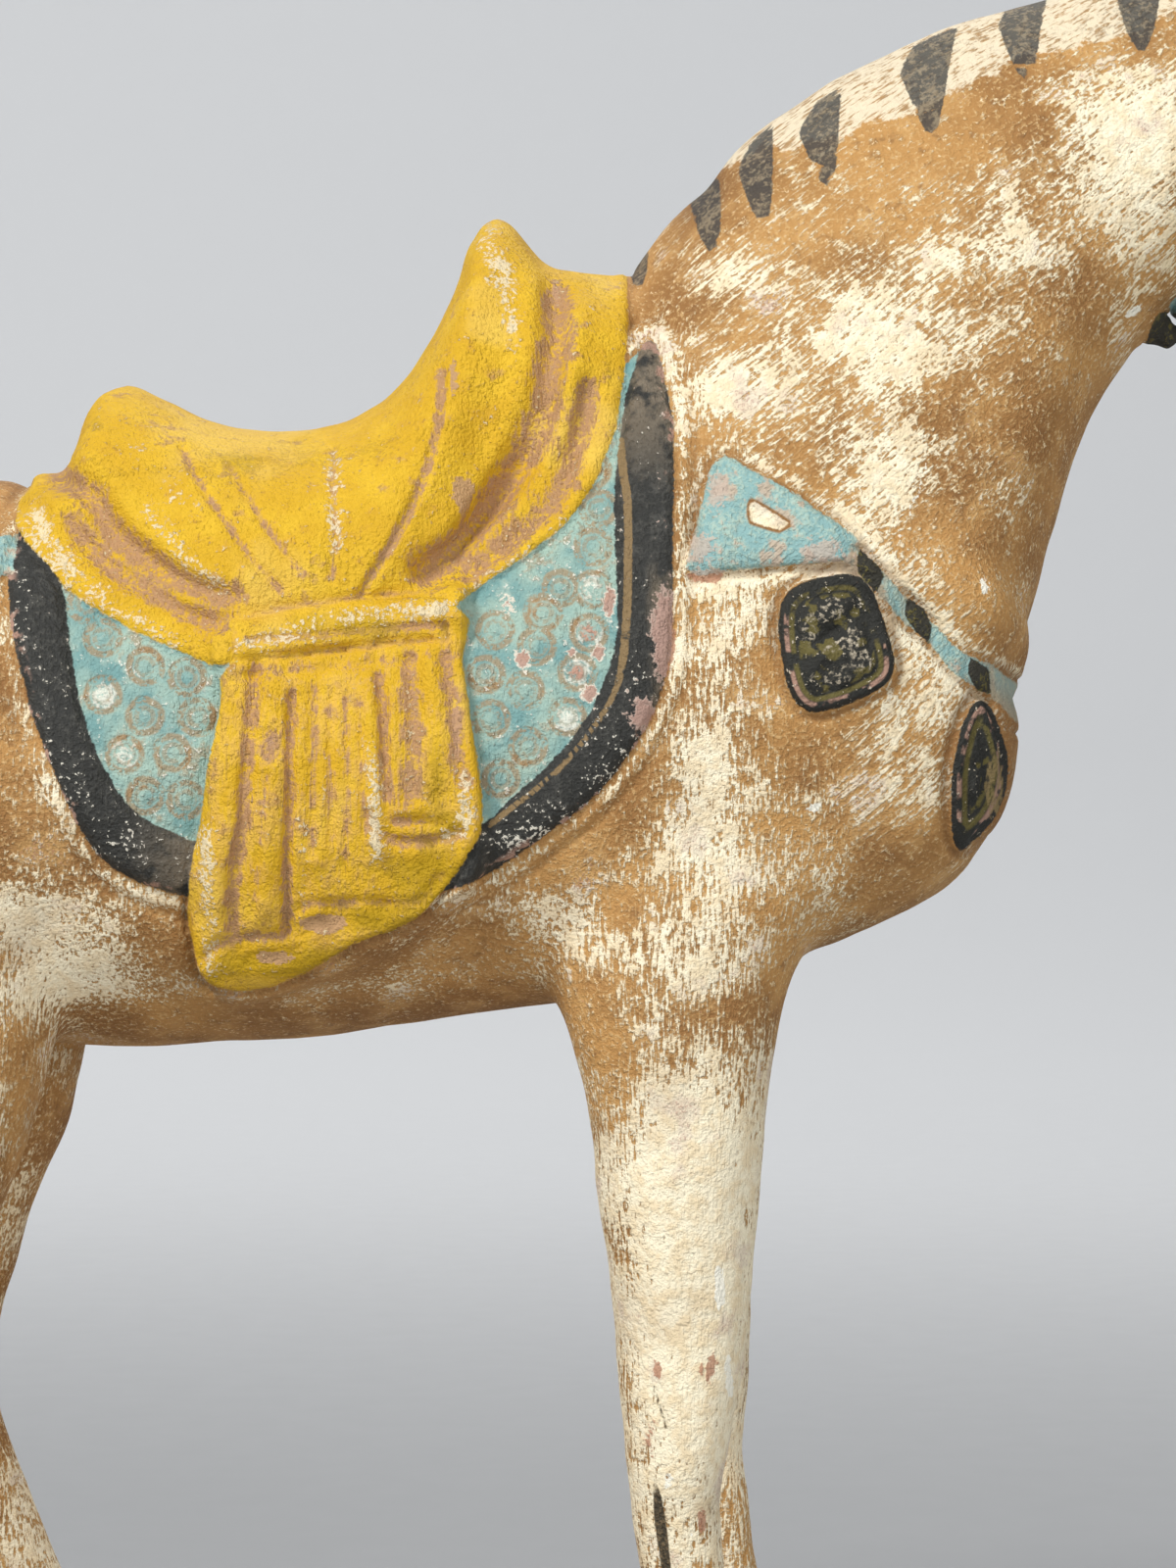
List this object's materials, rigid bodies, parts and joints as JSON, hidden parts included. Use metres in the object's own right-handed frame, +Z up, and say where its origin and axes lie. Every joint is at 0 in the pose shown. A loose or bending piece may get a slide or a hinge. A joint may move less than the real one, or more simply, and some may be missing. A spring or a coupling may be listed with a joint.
{
  "type": "terracotta horse figure",
  "caption": "Standing painted terracotta horse with saddle, pleated cover, bordered blanket and pendant harness, on a low slab.",
  "frame": {"origin": "centre of the slab's flat underside", "axes": "+X towards the horse's head, +Y to the horse's left, +Z up"},
  "size_m": [0.4533, 0.128, 0.4784],
  "materials": {
    "painted_terracotta": "matte",
    "bare_clay": "matte"
  },
  "bodies": {
    "root": {"horse": "painted_terracotta", "base": "bare_clay"}
  },
  "joints": []
}
